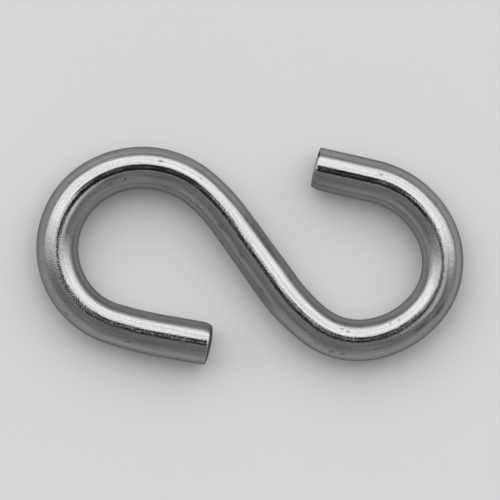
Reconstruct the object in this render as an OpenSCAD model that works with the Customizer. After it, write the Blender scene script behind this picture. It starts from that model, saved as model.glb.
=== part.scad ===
// Closed-pattern S hook, bent cold from one length of round wire.
// It lies flat on the XY plane with its long axis along X, the long bow at -X.

/* [Wire] */
// Diameter of the round steel wire
wire_d = 6; // [4:0.1:8]
// Extra radius of the two tails, which the bending has not thinned
tail_swell = 0.04; // [0.03:0.01:0.1]

/* [Shank] */
// Length of the straight stretch between the two bows
shank_len = 11.6; // [8:0.1:20]
// Lean of the shank from the hook's long axis, in degrees
shank_lean = 54.3; // [45:0.1:65]

/* [Long bow] */
// Centreline radius of the easy bend where the wire leaves the shank
long_ease_r = 25; // [18:0.1:32]
// Turn of that easy bend, in degrees
long_ease_turn = 14.4; // [10:0.1:18]
// Centreline radius over the heel
long_heel_r = 12.9; // [10:0.1:16]
// Turn of the heel, in degrees
long_heel_turn = 75; // [62:0.1:92]
// Centreline radius round the crown
long_crown_r = 11.3; // [9.2:0.1:14]
// Turn of the crown, in degrees
long_crown_turn = 127; // [105:0.1:135]
// Centreline radius of the slack bend that runs into the tail
long_nose_r = 55; // [45:0.1:80]
// Turn of that slack bend, in degrees
long_nose_turn = 8; // [5:0.1:9]
// Straight length left at the end of the tail
long_tail_len = 6.6; // [4:0.1:8]

/* [Short bow] */
// Centreline radius of the easy bend where the wire leaves the shank
short_ease_r = 28; // [20:0.1:38]
// Turn of that easy bend, in degrees
short_ease_turn = 15.5; // [10:0.1:18]
// Centreline radius of the tight bend at the heel
short_heel_r = 10.3; // [8.5:0.1:13]
// Turn of the heel, in degrees
short_heel_turn = 45.2; // [34:0.1:52]
// Centreline radius of the slacker stretch before the crown
short_back_r = 13; // [10:0.1:16]
// Turn of that stretch, in degrees
short_back_turn = 44; // [42:0.1:62]
// Centreline radius round the crown
short_crown_r = 10.3; // [8.3:0.1:12.5]
// Turn of the crown, in degrees
short_crown_turn = 63; // [45:0.1:67]
// Centreline radius of the bend that runs into the tail
short_nose_r = 12.9; // [10:0.1:16]
// Turn of that bend, in degrees
short_nose_turn = 53.8; // [47:0.1:69]
// Straight length left at the end of the tail
short_tail_len = 8.7; // [5:0.1:11]

/* [Sheared ends] */
// Radius that the shear blade rolls over on the inner edge of each end
rollover_r = 1.1; // [0.7:0.05:1.6]
// Width of the 45 degree break round the rim of each end
rim_break = 0.2; // [0.1:0.05:0.3]
// Lean of each cut from square in the plane of the hook, in degrees
cut_lean = 1.8; // [0:0.1:5]
// How far the long tail's cut faces up, in degrees
long_cut_tilt = 7; // [0:0.5:10]
// How far the short tail's cut faces up, in degrees
short_cut_tilt = 0; // [0:0.5:10]

/* [Hidden] */
$fn = 96;

wire_r = wire_d / 2;
tail_r = wire_r + tail_swell;
tail_lap = 0.05;
roll_bite = rollover_r / 10;

// Each bow is walked outwards from the shank as bends of [radius, turn].
long_bow = [
    [long_ease_r, long_ease_turn],
    [long_heel_r, long_heel_turn],
    [long_crown_r, long_crown_turn],
    [long_nose_r, long_nose_turn]
];
short_bow = [
    [short_ease_r, short_ease_turn],
    [short_heel_r, short_heel_turn],
    [short_back_r, short_back_turn],
    [short_crown_r, short_crown_turn],
    [short_nose_r, short_nose_turn]
];

// Point on a left-hand bend that starts at p with heading h, after it has turned by t.
function on_bend(p, h, r, t) = p + r * [sin(h + t) - sin(h), cos(h) - cos(h + t)];

// Points along the centreline of a bow's bends, a degree or less apart.
function bow_points(bow, p, h, i = 0) =
    i == len(bow) ? [] :
    let (r = bow[i][0], turn = bow[i][1], steps = ceil(turn))
    concat(
        [for (s = [0 : steps]) on_bend(p, h, r, turn * s / steps)],
        bow_points(bow, on_bend(p, h, r, turn), h + turn, i + 1)
    );

// Where a bow's bends end, which is where its tail starts, and the heading there.
function bow_end(bow, p, h, i = 0) =
    i == len(bow) ? [p, h] :
    bow_end(bow, on_bend(p, h, bow[i][0], bow[i][1]), h + bow[i][1], i + 1);

// The corner of a sheared end on the outer side, from its tail's start and heading.
function outer_corner(start, length) =
    start[0] + length * [cos(start[1]), sin(start[1])]
        + tail_r * [sin(start[1]), -cos(start[1])];

// The shank's middle is the walk's start, and the two headings are opposite.
long_heading = 180 - shank_lean;
short_heading = -shank_lean;
function shank_end(h) = shank_len / 2 * [cos(h), sin(h)];
centreline = concat(
    bow_points(long_bow, shank_end(long_heading), long_heading),
    bow_points(short_bow, shank_end(short_heading), short_heading)
);
corners = [
    outer_corner(bow_end(long_bow, shank_end(long_heading), long_heading), long_tail_len),
    outer_corner(bow_end(short_bow, shank_end(short_heading), short_heading), short_tail_len)
];

// The middle of the box round the bends and the two corners.
edges = [for (p = centreline) each [p - [wire_r, wire_r], p + [wire_r, wire_r]]];
xs = [for (p = concat(edges, corners)) p.x];
ys = [for (p = concat(edges, corners)) p.y];
middle = [(min(xs) + max(xs)) / 2, (min(ys) + max(ys)) / 2];

// A move in two steps, the first to a hundredth of a millimetre, so that the
// stretches of wire still meet exactly in a file that keeps only six digits.
module place(p) {
    near = [round(p.x * 100) / 100, round(p.y * 100) / 100];
    translate(near) translate(p - near) children();
}

// A straight stretch of wire along X, from one place to another.
module straight(from, to, r) {
    translate([from, 0, 0]) rotate([0, 90, 0]) cylinder(h = to - from, r = r);
}

// A bend of the wire to the left, from the point p and the heading h.
module bend(p, h, bend_r, turn) {
    place(p + bend_r * [-sin(h), cos(h)])
        rotate_extrude(angle = turn, start = h - 90) translate([bend_r, 0]) circle(r = wire_r);
}

// Draws a bow's bends one after the other, and the children at their end.
module bends(bow, p, h, i = 0) {
    if (i < len(bow)) {
        bend(p, h, bow[i][0], bow[i][1]);
        bends(bow, on_bend(p, h, bow[i][0], bow[i][1]), h + bow[i][1], i + 1) children();
    } else {
        translate(p) rotate(h) children();
    }
}

// What a shear leaves of the wire before x = 0: a flat face, a broken rim, and
// the edge on the bow's open side (+Y) rolled over where the blade came in. The
// rolled edge stops roll_bite short of running out smoothly on either side.
module sheared_block(reach) {
    difference() {
        rotate([0, -90, 0])
            cylinder(h = reach, r1 = tail_r - rim_break, r2 = tail_r - rim_break + reach);
        translate([roll_bite - rollover_r, tail_r + roll_bite - rollover_r, -wire_d])
            difference() {
                cube([2 * rollover_r, reach, 2 * wire_d]);
                cylinder(h = 2 * wire_d, r = rollover_r);
            }
    }
}

// The straight tail, cut off a little out of square. It starts just inside the
// last bend, where its fuller section ends in a small step.
module tail(length, cut_tilt) {
    intersection() {
        straight(-tail_lap, length + wire_d, tail_r);
        translate([length, 0, 0]) rotate([0, -cut_tilt, cut_lean])
            sheared_block(length + 2 * wire_d);
    }
}

// A bow and its tail, from the shank's end at +X.
module bow(bow, tail_len, cut_tilt) {
    bends(bow, [shank_len / 2, 0], 0) tail(tail_len, cut_tilt);
}

module hook() {
    color([0.72, 0.73, 0.74])
        translate([-middle.x, -middle.y, tail_r]) rotate(long_heading) {
            straight(-shank_len / 2, shank_len / 2, wire_r);
            bow(long_bow, long_tail_len, long_cut_tilt);
            rotate(180) bow(short_bow, short_tail_len, short_cut_tilt);
        }
}

hook();
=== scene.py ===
# %% [markdown]
# # An S hook bent from round wire
#
# The real hook is one length of drawn steel wire. A machine crops it from a
# coil, bends it cold into two bows, and the batch is barrelled and zinc plated.
# Nothing on it is assembled, so everything that the eye reads is in the bright
# plated skin, in the slightly uneven wire, and in the two cropped ends.
#
# The lesson makes the hook in the maker's order: a straight wire first, then
# its ends, its small faults and its marks, then the bends, then the plating,
# and last the studio around it.

import math
from collections import namedtuple

import bmesh
import bpy
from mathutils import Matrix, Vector


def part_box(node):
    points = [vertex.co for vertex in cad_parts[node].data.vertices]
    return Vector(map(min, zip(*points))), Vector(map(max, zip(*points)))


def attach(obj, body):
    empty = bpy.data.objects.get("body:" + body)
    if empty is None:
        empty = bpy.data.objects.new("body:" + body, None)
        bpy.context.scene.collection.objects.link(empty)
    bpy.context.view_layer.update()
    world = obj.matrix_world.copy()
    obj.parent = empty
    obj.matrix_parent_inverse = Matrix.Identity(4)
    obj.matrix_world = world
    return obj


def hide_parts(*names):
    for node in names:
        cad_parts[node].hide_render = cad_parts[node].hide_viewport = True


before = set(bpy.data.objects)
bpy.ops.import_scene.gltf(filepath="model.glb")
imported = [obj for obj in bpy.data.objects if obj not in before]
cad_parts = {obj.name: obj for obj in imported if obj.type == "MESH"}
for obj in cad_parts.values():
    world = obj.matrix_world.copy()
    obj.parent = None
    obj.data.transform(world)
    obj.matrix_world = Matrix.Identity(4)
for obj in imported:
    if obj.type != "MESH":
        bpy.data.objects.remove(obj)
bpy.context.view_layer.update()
MM = 0.001
low, high = (Vector(corner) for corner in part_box("hook"))
print("hook in the frame, mm:", [round(v / MM, 2) for v in high - low])

# %% [markdown]
# ## The sizes of the wire and its bends
#
# The same driving sizes as the hook's solid, in millimetres and degrees. A bow
# is a list of bends, each with the radius of the wire's middle line and the
# angle that it turns through, from the shank outwards. Working from the bends
# rather than from points keeps every stretch a true arc.

# %% Sizes of the wire and its bends
WIRE_D = 6.0
# Extra radius of the two tails, which the bending has not thinned.
TAIL_SWELL = 0.04
SHANK_LEN = 11.6
# Lean of the shank from the hook's long axis.
SHANK_LEAN = 54.3
LONG_BOW = [(25.0, 14.4), (12.9, 75.0), (11.3, 127.0), (55.0, 8.0)]
LONG_TAIL = 6.6
SHORT_BOW = [(28.0, 15.5), (10.3, 45.2), (13.0, 44.0), (10.3, 63.0), (12.9, 53.8)]
SHORT_TAIL = 8.7

# From the tip of the short tail to the tip of the long one. The walk goes back
# along the short bow, so its bends turn right, and the long bow's turn left.
stretches = [(0.0, SHORT_TAIL)]
stretches += [(-turn, radius) for radius, turn in reversed(SHORT_BOW)]
stretches += [(0.0, SHANK_LEN)]
stretches += [(turn, radius) for radius, turn in LONG_BOW]
stretches += [(0.0, LONG_TAIL)]


def stretch_length(turn, size):
    """A straight stretch's size is its length, and a bend's is its radius."""
    return size * math.radians(abs(turn)) if turn else size


wire_len = sum(stretch_length(turn, size) for turn, size in stretches)
print("length of wire, mm:", round(wire_len, 1))

# %% [markdown]
# ## Helpers for working as by hand
#
# An operator acts on all that is selected. By hand, the eye checks what that is
# before each one. Here start_fresh clears what an earlier step left selected,
# and pick selects by place, as a drag of the mouse would. Vertex numbers would
# do too, but they say nothing to a reader and change with every edit.

# %% Start fresh and pick by place
# Places this close together, in mm, count as the same.
TOUCH = 0.01


def start_fresh():
    """Leave edit mode and deselect everything, so that an operator meets only what is new."""
    if bpy.context.object and bpy.context.object.mode != "OBJECT":
        bpy.ops.object.mode_set(mode="OBJECT")
    bpy.ops.object.select_all(action="DESELECT")


def middle_of(part):
    """The place of a vertex, or the middle of an edge or a face."""
    if isinstance(part, bmesh.types.BMVert):
        return part.co
    return sum((v.co for v in part.verts), Vector()) / len(part.verts)


def pick(piece, test, kind="verts"):
    """In edit mode, select the vertices, edges or faces whose middle passes the test."""
    mesh = bmesh.from_edit_mesh(piece.data)
    bpy.ops.mesh.select_all(action="DESELECT")
    for part in getattr(mesh, kind):
        if test(middle_of(part)):
            part.select_set(True)
    mesh.select_flush_mode()
    bmesh.update_edit_mesh(piece.data)
    return sum(part.select for part in getattr(mesh, kind))


# %% [markdown]
# ## The straight wire
#
# On the real hook this is the piece that the shear crops off the coil. It could
# be swept along the finished path in one go, but a straight wire is far easier
# to work: its ends are square to X, its draw lines run along X, and the place
# of a dent is a distance along and a side. So it is drawn straight, one ring
# after another, and bent later, as the real one is.

# %% Draw the wire straight
# Vertices round the wire, and the distance from one ring of them to the next.
ROUND = 96
RING_GAP = 0.25
# The plain stretch at each end, which holds no ring until the end is cropped.
END_GAP = 1.0

start_fresh()
bpy.ops.mesh.primitive_circle_add(
    vertices=ROUND, radius=WIRE_D / 2 * MM,
    location=(END_GAP * MM, 0, 0), rotation=(0, math.radians(90), 0),
)
wire = bpy.context.object
wire.name = "wire_hook"
bpy.ops.object.transform_apply(location=True, rotation=True, scale=True)
bpy.ops.object.mode_set(mode="EDIT")
bpy.ops.mesh.select_all(action="SELECT")
rings = round((wire_len - 2 * END_GAP) / RING_GAP)
bpy.ops.mesh.extrude_repeat(steps=rings, offset=((wire_len - 2 * END_GAP) / rings * MM, 0, 0))
for end in (0, 1):
    edge_x = (END_GAP, wire_len - END_GAP)[end] * MM
    to_tip = ((2 * end - 1) * END_GAP * MM, 0, 0)
    pick(wire, lambda p: abs(p.x - edge_x) < TOUCH * MM)
    bpy.ops.mesh.extrude_edges_move(TRANSFORM_OT_translate={"value": to_tip})
    bpy.ops.mesh.edge_face_add()
bpy.ops.mesh.select_all(action="SELECT")
bpy.ops.mesh.normals_make_consistent(inside=False)
bpy.ops.object.mode_set(mode="OBJECT")
print("straight wire:", len(wire.data.vertices), "vertices")
print("its size, mm:", [round(v / MM, 2) for v in wire.dimensions])

# %% [markdown]
# ## The cropped ends
#
# A shear doesn't cut square: the blade rolls the wire's skin over where it
# enters, on the inside of each bow, and the face comes off a little out of
# square and slightly bulged, with a tumbled rim. A boolean against a tilted
# block would give the tilt but a razor rim, so the rim is bevelled first, the
# face is inset and raised, and then the last rings are turned and pushed in.

# %% Round the rims and bulge the faces
RIM_R = 0.22
RIM_STEPS = 5
# Height of the bulge at the short tip and at the long one.
BULGE = (0.10, 0.28)
# Width of each inset, and its share of the bulge.
FACE_STEPS = [(0.4, 0.38), (0.6, 0.34), (0.8, 0.20), (0.7, 0.08)]
# The end face and its insets all lie within this distance of the tip.
FACE_REACH = 0.4

bpy.ops.object.mode_set(mode="EDIT")
pick(wire, lambda p: min(p.x, wire_len * MM - p.x) < TOUCH * MM, "edges")
bpy.ops.mesh.bevel(
    offset=RIM_R * MM, offset_type="OFFSET", segments=RIM_STEPS, profile=0.5, affect="EDGES"
)


def on_face(p, end_x):
    """Whether a face's middle is on the wire's axis at this end."""
    return abs(p.x - end_x) < FACE_REACH * MM and math.hypot(p.y, p.z) < TOUCH * MM


for end in (0, 1):
    end_x = end * wire_len * MM
    for width, share in FACE_STEPS:
        pick(wire, lambda p: on_face(p, end_x), "faces")
        bpy.ops.mesh.inset(thickness=width * MM, depth=share * BULGE[end] * MM)
print("rims rounded to", RIM_R, "mm and faces raised by", BULGE, "mm")

# %% [markdown]
# ### The mark of the blade
#
# Where the blade comes in it drags the skin over before the wire gives way, and
# the cut comes off a little out of square. One big push would only bend the
# edge, so several small ones each move a narrower strip, which rounds it. Then
# the last rings are turned, which keeps the rim that a new cut would lose.

# %% Roll the skin over and turn the cuts
# Length of wire that takes part in the roll and turns with its cut.
TIP_LEN = 0.6
# How far each pass pushes towards the middle line, and its share back along the wire.
ROLL_DEPTH = 0.045
ROLL_BACK = 0.5
# Each pass of the roll takes a narrower strip, from this share of the radius outwards.
ROLL_STEPS = (0.35, 0.5, 0.65, 0.78, 0.88)
# Lean of both cuts in the plane of the hook, and how far each one faces up.
CUT_LEAN = 1.8
SHORT_CUT_TILT = 0.5
LONG_CUT_TILT = 1.5
# Extra rings between the rim and the wire, so that a mark on the rim can be short.
EXTRA_RINGS = (0.28, 0.5, 0.75)


def at_tip(p, end_x):
    """Whether a point is on the last stretch of the wire at this end."""
    return abs(p.x - end_x) < TIP_LEN * MM


for end, tilt, inner in ((0, SHORT_CUT_TILT, -1), (1, LONG_CUT_TILT, 1)):
    end_x = end * wire_len * MM
    outward = 2 * end - 1
    push = (-ROLL_BACK * outward * ROLL_DEPTH * MM, -inner * ROLL_DEPTH * MM, 0)
    for share in ROLL_STEPS:
        pick(wire, lambda p: at_tip(p, end_x) and inner * p.y > share * WIRE_D / 2 * MM)
        bpy.ops.transform.translate(value=push)
    pick(wire, lambda p: at_tip(p, end_x))
    centre = (end_x, 0, 0)
    up = math.radians(outward * tilt)
    lean = math.radians(outward * inner * CUT_LEAN)
    bpy.ops.transform.rotate(value=up, orient_axis="Y", center_override=centre)
    bpy.ops.transform.rotate(value=lean, orient_axis="Z", center_override=centre)
for step in EXTRA_RINGS:
    for ring_x in (step, wire_len - step):
        bpy.ops.mesh.select_all(action="SELECT")
        bpy.ops.mesh.bisect(plane_co=(ring_x * MM, 0, 0), plane_no=(1, 0, 0))
bpy.ops.object.mode_set(mode="OBJECT")
print("cropped wire, mm:", [round(v / MM, 2) for v in wire.dimensions])

# %% [markdown]
# ## An uneven section
#
# Cold bending leaves the wire about three per cent narrower in some bends, while
# the shank and the tails keep their full section. Each ring could be given a
# width of its own, but the change from one to the next has to be smooth, so one
# ring is scaled and proportional editing takes its neighbours along.

# %% Narrow the bends
Swell = namedtuple("Swell", "along reach change")
# Distance along from the short tip, length that it reaches either way, and change
# of half the width, in mm.
SWELLS = [
    Swell(4.0, 8.0, 0.04),
    Swell(33.0, 14.0, -0.10),
    Swell(58.5, 9.0, 0.08),
    Swell(75.0, 9.0, -0.08),
    Swell(95.0, 9.0, 0.06),
    Swell(115.0, 9.0, -0.05),
    Swell(127.0, 9.0, 0.05),
]

bpy.ops.object.mode_set(mode="EDIT")
for swell in SWELLS:
    ring = round((swell.along - END_GAP) / RING_GAP)
    ring_x = (END_GAP + ring * (wire_len - 2 * END_GAP) / rings) * MM
    # Less than half a gap to either side takes this ring alone.
    pick(wire, lambda p: abs(p.x - ring_x) < 0.4 * RING_GAP * MM)
    bpy.ops.transform.resize(
        value=(1, 1 + 2 * swell.change / WIRE_D, 1), center_override=(ring_x, 0, 0),
        use_proportional_edit=True, proportional_edit_falloff="SMOOTH",
        proportional_size=swell.reach * MM,
    )
bpy.ops.object.mode_set(mode="OBJECT")
widest = {}
for v in wire.data.vertices:
    cell = int(v.co.x / MM // 10)
    widest[cell] = max(widest.get(cell, 0), v.co.y / MM)
print("half width every 10 mm:", [round(widest[cell], 3) for cell in sorted(widest)])

# %% [markdown]
# ### A gentle wave
#
# Drawn wire that has been bent and barrelled is never quite true, and its
# highlights wander. A bump would move only the shading, and this wave is wide
# enough to be real shape, so a weak Displace modifier makes it.

# %% Wave the surface
WAVE_LENGTH = 4.0
WAVE_HEIGHT = 0.05

start_fresh()
wire.select_set(True)
bpy.context.view_layer.objects.active = wire
waves = bpy.data.textures.new("wire_waves", "CLOUDS")
waves.noise_scale = WAVE_LENGTH * MM
waves.noise_depth = 1
bpy.ops.object.modifier_add(type="DISPLACE")
wire.modifiers[-1].texture = waves
wire.modifiers[-1].texture_coords = "LOCAL"
wire.modifiers[-1].strength = WAVE_HEIGHT * MM
wire.modifiers[-1].mid_level = 0.5
bpy.ops.object.modifier_apply(modifier=wire.modifiers[-1].name)
print("waved wire, mm:", [round(v / MM, 3) for v in wire.dimensions])

# %% [markdown]
# ## Knocks from the barrel
#
# Hooks tumble against each other while they are cleaned and plated, so the skin
# has a few small nicks, smudges and scratches. They could be painted on, but a
# nick that is pushed into the mesh catches the light as the real one does. Each
# vertex also keeps how deep in a mark it is, for the plating to be duller there.

# %% The marks, one by one
Mark = namedtuple("Mark", "along left length width depth dark")
# Distance along from the short tip, distance to the left of the middle line,
# length, width, depth in mm, and how dark the mark is.
MARKS = [
    Mark(0.1, 2.0, 0.5, 1.1, 0.020, 1.0),
    Mark(9.4, 1.1, 0.8, 0.3, 0.010, 0.9),
    Mark(31.5, 1.7, 3.4, 0.7, 0.006, 0.6),
    Mark(34.5, 1.4, 3.4, 0.6, 0.004, 0.6),
    Mark(36.5, -1.3, 0.5, 0.3, 0.008, 0.6),
    Mark(38.0, -1.4, 0.6, 0.3, 0.008, 0.6),
    Mark(45.0, -1.2, 0.7, 0.3, 0.010, 0.9),
    Mark(46.0, -1.3, 0.7, 0.3, 0.010, 0.8),
    Mark(45.2, 2.2, 0.8, 0.3, 0.008, 0.8),
    Mark(46.5, 2.2, 0.8, 0.3, 0.008, 0.8),
    Mark(59.0, 2.2, 1.6, 0.2, 0.006, 0.6),
    Mark(64.5, 1.6, 2.2, 0.3, 0.006, 0.5),
    Mark(68.0, -2.1, 0.5, 0.5, 0.006, 0.8),
    Mark(69.5, 1.6, 1.6, 0.3, 0.008, 0.7),
    Mark(76.4, -1.2, 0.4, 0.3, 0.006, 0.6),
    Mark(82.2, -1.2, 0.9, 0.3, 0.015, 1.0),
    Mark(87.4, 1.4, 0.5, 0.4, 0.012, 1.0),
    Mark(90.0, 1.4, 0.5, 0.3, 0.006, 0.5),
    Mark(112.0, -2.4, 0.8, 0.4, 0.008, 0.5),
    Mark(120.6, -1.8, 0.5, 0.3, 0.012, 1.0),
]


def inside(mark, p):
    """How far inside a mark a point of the upper side is: 0 at its edge, 1 in its middle."""
    if p.z <= 0:
        return 0.0
    along = (p.x / MM - mark.along) / mark.length
    across = (p.y / MM - mark.left) / mark.width
    away = math.hypot(along, across) * 2
    return max(0.0, 1.0 - away * away)


print("marks:", len(MARKS), "the longest, mm:", max(mark.length for mark in MARKS))

# %% Nick the surface
# Half of each dent is pressed over the whole mark and half over its middle, from
# this far inside, so that the dent has sloping sides.
DENT_STEPS = (0.0, 0.4)

start_fresh()
bpy.context.view_layer.objects.active = wire
wire.select_set(True)
darkness = [max(mark.dark * inside(mark, v.co) for mark in MARKS) for v in wire.data.vertices]
bpy.ops.geometry.attribute_add(name="knocked", domain="POINT", data_type="FLOAT")
wire.data.attributes["knocked"].data.foreach_set("value", darkness)
bpy.ops.object.mode_set(mode="EDIT")
for mark in MARKS:
    for share in DENT_STEPS:
        if pick(wire, lambda p: inside(mark, p) > share):
            bpy.ops.transform.shrink_fatten(value=-mark.depth / len(DENT_STEPS) * MM)
bpy.ops.object.mode_set(mode="OBJECT")
print("vertices in a mark:", sum(dark > 0 for dark in darkness))

# %% [markdown]
# ## Coarser and finer grain
#
# The skin isn't equally rough all along. It is coarse round the short bow and
# from the long bow's crown to its tip, and finer between them and on the short
# tail. A noise could vary it, but not in these places, so each vertex keeps a
# grade that is set by its distance along the wire, and the plating reads it.

# %% Grade the grain along the wire
# Distance along from the short tip, in mm, and how strong the grain is there.
GRADES = [
    (0, 0.5), (14, 0.5), (20, 1.0), (48, 0.9), (56, 0.5),
    (76, 0.35), (96, 0.35), (104, 1.0), (140, 1.0),
]


def grade(along):
    """The strength of the grain at a distance along the wire."""
    for (start, before), (end, after) in zip(GRADES, GRADES[1:]):
        if along <= end:
            return before + (after - before) * max(0.0, along - start) / (end - start)


start_fresh()
bpy.context.view_layer.objects.active = wire
bpy.ops.geometry.attribute_add(name="coarse", domain="POINT", data_type="FLOAT")
grades = [grade(v.co.x / MM) for v in wire.data.vertices]
wire.data.attributes["coarse"].data.foreach_set("value", grades)
print("grain from", min(grades), "to", max(grades))

# %% [markdown]
# ## Remember the straight wire
#
# Draw lines follow the wire round every bend. Once it is bent, no plain axis
# does, so each vertex keeps its place on the straight wire in an attribute of
# its own, which the plating's pattern reads later.

# %% Keep the straight place of every vertex
bpy.ops.geometry.attribute_add(name="straight_place", domain="POINT", data_type="FLOAT_VECTOR")
places = [axis for v in wire.data.vertices for axis in v.co]
wire.data.attributes["straight_place"].data.foreach_set("vector", places)
print("straight places kept:", len(places) // 3)

# %% [markdown]
# ## The path of the bends
#
# The former's pins give the wire its path: straight, round one pin, round the
# next. The path could be a list of points, but then no bend would have a radius
# of its own. So it is drawn as the former works: one vertex is pulled along the
# straights and spun round the pins.

# %% Draw the path of the middle line
# Degrees from one point of a bend to the next.
BEND_STEP = 0.5

start_fresh()
bpy.ops.mesh.primitive_plane_add(size=MM, location=(0, 0, 0))
path = bpy.context.object
path.name = "wire_path"
bpy.ops.object.mode_set(mode="EDIT")
bpy.ops.mesh.select_all(action="SELECT")
bpy.ops.mesh.merge(type="CENTER")


def pointing(degrees):
    """The flat direction of a heading."""
    return Vector((math.cos(math.radians(degrees)), math.sin(math.radians(degrees)), 0))


short_heading = 180 - SHANK_LEAN + sum(turn for radius, turn in SHORT_BOW)
heading = short_heading
place = Vector((0, 0, 0))
for turn, size in stretches:
    if turn == 0:
        step = pointing(heading) * size * MM
        bpy.ops.mesh.extrude_vertices_move(TRANSFORM_OT_translate={"value": step})
        place = place + step
    else:
        # The pin is to the left of a left turn. Spin's angle runs against the heading's.
        side = math.copysign(90, turn)
        pin = place + pointing(heading + side) * size * MM
        bpy.ops.mesh.spin(
            steps=round(abs(turn) / BEND_STEP), angle=math.radians(-turn),
            center=pin, axis=(0, 0, 1), use_normal_flip=False,
        )
        heading += turn
        place = pin - pointing(heading + side) * size * MM
bpy.ops.object.mode_set(mode="OBJECT")
print("path points:", len(path.data.vertices))
print("path ends at, mm:", [round(v / MM, 2) for v in path.data.vertices[-1].co])
print("and should end at:", [round(v / MM, 2) for v in place])

# %% [markdown]
# ## Lay the path where the frame has the hook
#
# The hook's box touches the crowns on three sides and a tip's outer corner on
# the fourth, so those are measured on the path, and the path is moved until the
# middle of its box is the middle of the frame's.

# %% Lay the path in the frame
points = path.data.vertices
tips = [(points[0].co.copy(), short_heading + 180), (points[-1].co.copy(), heading)]
wire_r = WIRE_D / 2 * MM
tail_r = (WIRE_D / 2 + TAIL_SWELL) * MM
corners = [tip + pointing(out - 90) * tail_r for tip, out in tips]
middle = Vector((0, 0, 0))
for axis in (0, 1):
    edges = [v.co[axis] + side * wire_r for v in points for side in (-1, 1)]
    edges += [corner[axis] for corner in corners]
    middle[axis] = (min(edges) + max(edges)) / 2
move = (low + high) / 2 - middle
path.location = (move.x, move.y, (high.z - low.z) / 2)
start_fresh()
path.select_set(True)
bpy.context.view_layer.objects.active = path
bpy.ops.object.transform_apply(location=True, rotation=True, scale=True)
bpy.ops.object.convert(target="CURVE")
path = bpy.context.object
path.data.dimensions = "3D"
path.data.twist_mode = "Z_UP"

# The curve may come out of the conversion back to front.
first = path.data.splines[0].points[0].co
if (first.to_3d() - tips[0][0] - move.xy.to_3d()).xy.length > 1 * MM:
    bpy.ops.object.mode_set(mode="EDIT")
    bpy.ops.curve.select_all(action="SELECT")
    bpy.ops.curve.switch_direction()
    bpy.ops.object.mode_set(mode="OBJECT")
for name, i in (("from", 0), ("to", -1)):
    print("path", name, [round(v / MM, 2) for v in path.data.splines[0].points[i].co[:3]])

# %% [markdown]
# ## Bend it
#
# Here the real wire takes its shape. Bones or a lattice could bend it, but they
# would stretch it unevenly. A Curve modifier lays the straight wire along the
# path, and each place on its middle line keeps its distance from the tip.

# %% Bend the wire along the path
# Faces that meet at a flatter angle than this are shaded as one surface.
SMOOTH_ANGLE = 50

start_fresh()
wire.select_set(True)
bpy.context.view_layer.objects.active = wire
bpy.ops.object.modifier_add(type="CURVE")
wire.modifiers[-1].object = path
wire.modifiers[-1].deform_axis = "POS_X"
bpy.ops.object.modifier_apply(modifier=wire.modifiers[-1].name)
bpy.data.objects.remove(path)
bpy.ops.object.shade_smooth_by_angle(angle=math.radians(SMOOTH_ANGLE))
bent = [v.co for v in wire.data.vertices]
print("bent hook from, mm:", [round(min(p[i] for p in bent) / MM, 2) for i in range(3)])
print("to:", [round(max(p[i] for p in bent) / MM, 2) for i in range(3)])

# %% [markdown]
# ## Helpers for materials
#
# Colours are written as on a colour card, in sRGB, and the renderer works in
# linear light, so one function turns one into the other. Another adds a node
# and links it in a single line, which keeps a material as short as its recipe.

# %% Helpers for materials
def linear(code):
    """The linear colour of an sRGB hex value."""
    parts = [int(code[i:i + 2], 16) / 255 for i in (1, 3, 5)]
    return [c / 12.92 if c <= 0.04045 else ((c + 0.055) / 1.055) ** 2.4 for c in parts] + [1.0]


def add(tree, kind, settings=None, **inputs):
    """Add a node with its settings, and set each of its inputs or link it.

    An input goes by its name, with _ for a space, or by its number, as in _0.
    A node given as an input stands for its first output.
    """
    node = tree.nodes.new(kind)
    for name, value in (settings or {}).items():
        setattr(node, name, value)
    for name, value in inputs.items():
        socket = node.inputs[int(name[1:])] if name[1:].isdigit() else node.inputs[name.replace("_", " ")]
        if isinstance(value, bpy.types.Node):
            value = value.outputs[0]
        if isinstance(value, bpy.types.NodeSocket):
            tree.links.new(value, socket)
        else:
            socket.default_value = value
    return node


def new_material(name):
    """A new material, with an empty node tree, and that tree."""
    material = bpy.data.materials.new(name)
    material.use_nodes = True
    material.node_tree.nodes.clear()
    return material, material.node_tree


# Settings that several nodes share.
COLOURS = {"data_type": "RGBA"}
TIMES = {"operation": "MULTIPLY"}
PLUS = {"operation": "ADD"}
TIMES_PLUS = {"operation": "MULTIPLY_ADD"}
UNSIGNED = {"operation": "ABSOLUTE"}

# %% [markdown]
# ## Bright zinc plating
#
# A few micrometres of zinc lie over drawn steel, bright from the bath and then
# dulled a little in air. It is a metal, so it has no colour of its own beyond a
# neutral grey and mirrors what is round it, softened by the drawing. What makes
# it read as plated wire is the fine lengthwise draw lines, a close grain that
# breaks up the edge of every reflection, and patches that are a bit duller.
# All three are noises on the straight wire's places, so they follow the bends.

# %% The patterns in the plating
# On real wire the die's lines and the plating's grain are finer than these sizes.
# Both are drawn coarser here, or they would not show.
DRAW_LINE_LENGTH = 12.0
DRAW_LINE_WIDTH = 0.4
GRAIN_SIZE = 0.2
PATCH_SIZE = 3.0

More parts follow.
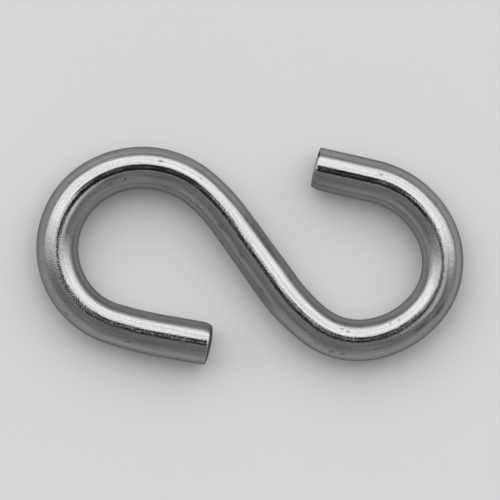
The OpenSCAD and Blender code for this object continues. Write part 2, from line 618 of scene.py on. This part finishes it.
# To the eye: a neutral grey that mirrors the room, with reflections frayed along the wire.
plating, tree = new_material("bright zinc-plated drawn wire")
straight = add(tree, "ShaderNodeAttribute", {"attribute_name": "straight_place"}).outputs["Vector"]
knocked = add(tree, "ShaderNodeAttribute", {"attribute_name": "knocked"}).outputs["Fac"]
coarse = add(tree, "ShaderNodeAttribute", {"attribute_name": "coarse"}).outputs["Fac"]
stretched = add(tree, "ShaderNodeMapping", Vector=straight, Scale=[
    1 / (DRAW_LINE_LENGTH * MM), 1 / (DRAW_LINE_WIDTH * MM), 1 / (DRAW_LINE_WIDTH * MM)
])
draw_lines = add(tree, "ShaderNodeTexNoise", Vector=stretched, Scale=1.0, Detail=2.0, Roughness=0.6)
grain = add(tree, "ShaderNodeTexNoise", Vector=straight, Scale=1 / (GRAIN_SIZE * MM), Detail=1.0)
patches = add(tree, "ShaderNodeTexNoise", Vector=straight, Scale=1 / (PATCH_SIZE * MM), Detail=3.0)
print("nodes for the patterns:", len(tree.nodes))

# %% [markdown]
# ### The colour of the zinc
#
# Plated zinc is a plain grey, so the colour only goes a little up and down with
# the draw lines and the grain. In a knock the zinc is bruised and dark. A flat
# colour would be simpler, but then only the reflections would show any grain.

# %% The colour of the plating
# Most of a noise lies between these.
CLOSE = {"From_Min": 0.35, "From_Max": 0.65}
# The grain makes the metal this much darker or lighter.
SPECKLE = {"To_Min": 0.90, "To_Max": 1.08}

tone = add(tree, "ShaderNodeMapRange", Value=draw_lines, **CLOSE)
drawn = add(tree, "ShaderNodeMix", COLOURS, _0=tone, _6=linear("#999999"), _7=linear("#AAAAAA"))
speckle = add(tree, "ShaderNodeMapRange", Value=grain, **CLOSE, **SPECKLE)
metal = add(tree, "ShaderNodeVectorMath", {"operation": "SCALE"}, _0=drawn.outputs[2], Scale=speckle)
colour = add(tree, "ShaderNodeMix", COLOURS, _0=knocked, _6=metal, _7=linear("#1C1C1C")).outputs[2]
print("nodes for the colour:", len(tree.nodes))

# %% [markdown]
# ### Where it is bright and where it is dull
#
# The top of the wire keeps the bright satin of the bath. Bending strains the two
# flanks most, which roughens them, so the reflections soften from about half
# way out. A knock is duller again. One even roughness would make the flanks
# mirror the room as crisply as the top does, and they don't.

# %% The roughness of the plating
# The roughness of the bath's patches goes between the last two.
SATIN = {"From_Min": 0.3, "From_Max": 0.7, "To_Min": 0.08, "To_Max": 0.14}
# Shares of the radius where the flanks begin to dull and are at their dullest.
FLANK = (0.55, 0.85)
FLANK_ROUGH = 0.32
KNOCK_ROUGH = 0.3

satin = add(tree, "ShaderNodeMapRange", Value=patches, **SATIN)
across = add(tree, "ShaderNodeSeparateXYZ", Vector=straight).outputs["Y"]
side = add(tree, "ShaderNodeMath", UNSIGNED, _0=across)
strained = add(
    tree, "ShaderNodeMapRange", Value=side, From_Min=FLANK[0] * WIRE_D / 2 * MM,
    From_Max=FLANK[1] * WIRE_D / 2 * MM, To_Min=0.0, To_Max=FLANK_ROUGH,
)
skin_rough = add(tree, "ShaderNodeMath", PLUS, _0=satin, _1=strained)
rough = add(tree, "ShaderNodeMath", TIMES_PLUS, _0=knocked, _1=KNOCK_ROUGH, _2=skin_rough)
print("nodes with the roughness:", len(tree.nodes))

# %% [markdown]
# ### The relief
#
# The draw lines and the grain stand less than a fiftieth of a millimetre proud. A
# mesh fine enough for them would be huge, so a bump leans the shading instead.
# The lines streak the highlights along the wire, and the grain frays their edges.

# %% The relief and the finished skin
DRAW_LINE_DEPTH = 0.0035
GRAIN_DEPTH = 0.019

lines_up = add(tree, "ShaderNodeBump", Strength=1.0, Distance=DRAW_LINE_DEPTH * MM, Height=draw_lines)
grain_up = add(
    tree, "ShaderNodeBump", Strength=coarse, Distance=GRAIN_DEPTH * MM, Height=grain, Normal=lines_up
)
# The tint darkens the metal at a glancing angle, where dulled zinc mirrors less.
skin = add(
    tree, "ShaderNodeBsdfPrincipled", Base_Color=colour, Metallic=1.0, Roughness=rough,
    Specular_Tint=linear("#808080"), Normal=grain_up,
)
add(tree, "ShaderNodeOutputMaterial", Surface=skin)
wire.data.materials.clear()
wire.data.materials.append(plating)
print("plating:", len(tree.nodes), "nodes")

# %% [markdown]
# ## Put the hook into the frame
#
# The hook has no joints, so it rides on the one body there is, and it stands
# for the plain solid that carries the weight and the collisions.

# %% Put the hook into the frame
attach(wire, "root")
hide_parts("hook")
print("in the frame:", wire.name)

# %% [markdown]
# ## The studio: a board
#
# A bright metal shows little but its surroundings, so the surroundings matter as
# much as the plating. Under the hook is matt card. It scatters all that falls on
# it, so it shows no highlight of its own, only the hook's soft shadow, and the
# hook's flanks mirror it as a plain pale grey. It is far larger than the view,
# so no edge of it shows in the metal.

# %% Lay the board
BOARD = 6.0
# Card is faintly cloudy at a few millimetres. It is drawn coarser, to stay calm.
CLOUD_SIZE = 40

start_fresh()
bpy.ops.mesh.primitive_grid_add(x_subdivisions=8, y_subdivisions=8, size=BOARD, location=(0, 0, low.z))
board = bpy.context.object
board.name = "board"
# To the eye: a pale ground with no highlight, which takes only a soft shadow.
paper, tree = new_material("matt white board")
on_board = add(tree, "ShaderNodeTexCoord").outputs["Object"]
mottle = add(tree, "ShaderNodeTexNoise", Vector=on_board, Scale=1 / (CLOUD_SIZE * MM), Detail=3.0)
shade = add(tree, "ShaderNodeMix", COLOURS, _0=mottle, _6=linear("#D1D1D1"), _7=linear("#D3D3D3"))
sheet = add(tree, "ShaderNodeBsdfPrincipled", Base_Color=shade.outputs[2], Roughness=0.9)
add(tree, "ShaderNodeOutputMaterial", Surface=sheet)
board.data.materials.append(paper)
print("board, m:", BOARD)

# %% [markdown]
# ## The studio: a camera
#
# The camera looks straight down from far away with a long lens. A near camera
# would see further round one side of the wire than round the other, and the
# reflections would move with it.

# %% Set up the camera
CAMERA_HEIGHT = 1500.0
VIEW_WIDTH = 71.7
SENSOR = 36.0
# A little towards +Y from the hook's middle, at the height of the wire's middle line.
AIM = (0, 0.85, WIRE_D / 2 + TAIL_SWELL)

lens = bpy.data.cameras.new("camera")
lens.sensor_width = SENSOR
lens.lens = SENSOR * CAMERA_HEIGHT / VIEW_WIDTH
camera = bpy.data.objects.new("camera", lens)
camera.location = Vector(AIM) * MM + Vector((0, 0, CAMERA_HEIGHT * MM))
bpy.context.scene.collection.objects.link(camera)
bpy.context.scene.camera = camera
print("focal length, mm:", round(lens.lens))

# %% [markdown]
# ## The studio: light from the world
#
# The light is a wide soft panel behind the hook, a grey room all round and a
# black flag overhead, which draws the dark line along the top of the wire.
# Lamps and a card would do, but they would add noise and hold edges to hide. So
# all of it is painted on the world, by direction: how far round from the back,
# which is +Y, and how far down from straight up.

# %% Directions in the world
world = bpy.data.worlds.new("studio")
bpy.context.scene.world = world
world.use_nodes = True
tree = world.node_tree
tree.nodes.clear()
ray = add(tree, "ShaderNodeTexCoord").outputs["Generated"]
axes = add(tree, "ShaderNodeSeparateXYZ", Vector=ray)
turned = add(tree, "ShaderNodeMath", {"operation": "ARCTAN2"}, _0=axes.outputs["X"], _1=axes.outputs["Y"])
from_back = add(tree, "ShaderNodeMath", UNSIGNED, _0=turned)
from_top = add(tree, "ShaderNodeMath", {"operation": "ARCCOSINE"}, _0=axes.outputs["Z"])
plan = add(tree, "ShaderNodeVectorMath", TIMES, _0=ray, _1=(1, 1, 0))

SMOOTH = {"interpolation_type": "SMOOTHSTEP"}
FALLING = {"To_Min": 1.0, "To_Max": 0.0}


def between(start, end):
    """The range of a fade from one angle to another, in degrees."""
    return {"From_Min": math.radians(start), "From_Max": math.radians(end)}


print("directions:", len(tree.nodes), "nodes")

# %% [markdown]
# ### The panel and the room
#
# The panel gives the hook its broad highlight, and the room gives the rest of
# the metal its mid greys. The room grows brighter towards the horizon, except at
# the back. A plain grey would be simpler, but a real room isn't even, so its
# light also wanders by a quarter either way.

# %% Paint the panel and the room
PANEL_LIGHT = 2.1
ROOM_LIGHT = 0.335
HORIZON_LIGHT = 0.51
FAR_WALL_LIGHT = 0.3
# Angles, in degrees, at which each of them begins to fade and is gone.
PANEL_SIDES = (60, 112)
PANEL_FOOT = (60, 82)
ROOM_FOOT = (50, 88)
FAR_WALL_SIDES = (50, 100)
# How finely the room's light wanders over the directions, and how much.
CLUTTER = 4.0
WANDER = {"From_Min": 0.3, "From_Max": 0.7, "To_Min": 0.75, "To_Max": 1.25}

sides = add(tree, "ShaderNodeMapRange", SMOOTH, Value=from_back, **between(*PANEL_SIDES), **FALLING)
foot = add(tree, "ShaderNodeMapRange", SMOOTH, Value=from_top, **between(*PANEL_FOOT), **FALLING)
panel = add(tree, "ShaderNodeMath", TIMES, _0=sides, _1=foot)

upper = add(tree, "ShaderNodeMapRange", SMOOTH, Value=from_top, **between(*ROOM_FOOT), **FALLING)
wall = add(tree, "ShaderNodeMapRange", SMOOTH, Value=from_back, **between(*FAR_WALL_SIDES), **FALLING)
horizon = add(tree, "ShaderNodeMix", _0=wall, _2=HORIZON_LIGHT, _3=FAR_WALL_LIGHT)
even = add(tree, "ShaderNodeMix", _0=upper, _2=horizon, _3=ROOM_LIGHT)
clutter = add(tree, "ShaderNodeTexNoise", Vector=ray, Scale=CLUTTER, Detail=3.0)
busy = add(tree, "ShaderNodeMapRange", Value=clutter, **WANDER)
room = add(tree, "ShaderNodeMath", TIMES, _0=even, _1=busy)
lit = add(tree, "ShaderNodeMath", TIMES_PLUS, _0=panel, _1=PANEL_LIGHT - ROOM_LIGHT, _2=room)
print("panel and room:", len(tree.nodes), "nodes")

# %% [markdown]
# ### The flag, a glow and a spot
#
# The flag is a disc with its left and right cut away, so that two wedges meet
# straight overhead. The dark line is then bold where the wire runs left and
# right. Where it runs to and fro only the small waist between the wedges is
# left, and the line is thin. A whole disc would be simpler and would draw the
# line equally bold all round. A faint glow surrounds the flag, and a soft spot
# stands to the right and in front.

# %% Hang the flag
SPOT_LIGHT = 0.8
# The light that the glow adds.
RIM_LIGHT = 0.17
FLAG_LIGHT = 0.02
# Discs overhead: place, radius and softness, in sines of the angle from straight up.
SPOT = (0.34, -0.21, 0.16, 0.08)
RIM = (0.0, 0.045, 0.37, 0.03)
FLAG = (0.0, 0.045, 0.295, 0.025)
WAIST = (0.0, 0.0, 0.085, 0.015)
# The far wedge fades out between the first two angles from the back, and the near
# one fades in between the next two, with its middle turned a little towards +X.
FAR_WEDGE = (48, 61)
NEAR_WEDGE = (99, 104)
NEAR_TURN = 5.5


def disc(x, y, radius, soft):
    """A disc overhead, as the hook sees it, from 1 inside to 0 outside."""
    away = add(tree, "ShaderNodeVectorMath", {"operation": "DISTANCE"}, _0=plan, _1=(x, y, 0))
    return add(
        tree, "ShaderNodeMapRange", SMOOTH, Value=away.outputs["Value"],
        From_Min=radius - soft, From_Max=radius + soft, **FALLING,
    )


spotted = add(tree, "ShaderNodeMath", TIMES_PLUS, _0=disc(*SPOT), _1=SPOT_LIGHT, _2=lit)
rimmed = add(tree, "ShaderNodeMath", TIMES_PLUS, _0=disc(*RIM), _1=RIM_LIGHT, _2=spotted)

slanted = add(tree, "ShaderNodeMath", PLUS, _0=turned, _1=math.radians(NEAR_TURN))
from_slant = add(tree, "ShaderNodeMath", UNSIGNED, _0=slanted)
far = add(tree, "ShaderNodeMapRange", SMOOTH, Value=from_back, **between(*FAR_WEDGE), **FALLING)
near = add(tree, "ShaderNodeMapRange", SMOOTH, Value=from_slant, **between(*NEAR_WEDGE))
wedges = add(tree, "ShaderNodeMath", PLUS, _0=far, _1=near)
cut_out = add(tree, "ShaderNodeMath", TIMES, _0=disc(*FLAG), _1=wedges)
flag = add(tree, "ShaderNodeMath", {"operation": "MAXIMUM"}, _0=cut_out, _1=disc(*WAIST))
light = add(tree, "ShaderNodeMix", _0=flag, _2=rimmed, _3=FLAG_LIGHT)

glow = add(tree, "ShaderNodeBackground", Color=linear("#FFFFFF"), Strength=light)
add(tree, "ShaderNodeOutputWorld", Surface=glow)
bpy.context.scene.view_settings.view_transform = "Standard"
print("world:", len(tree.nodes), "nodes")
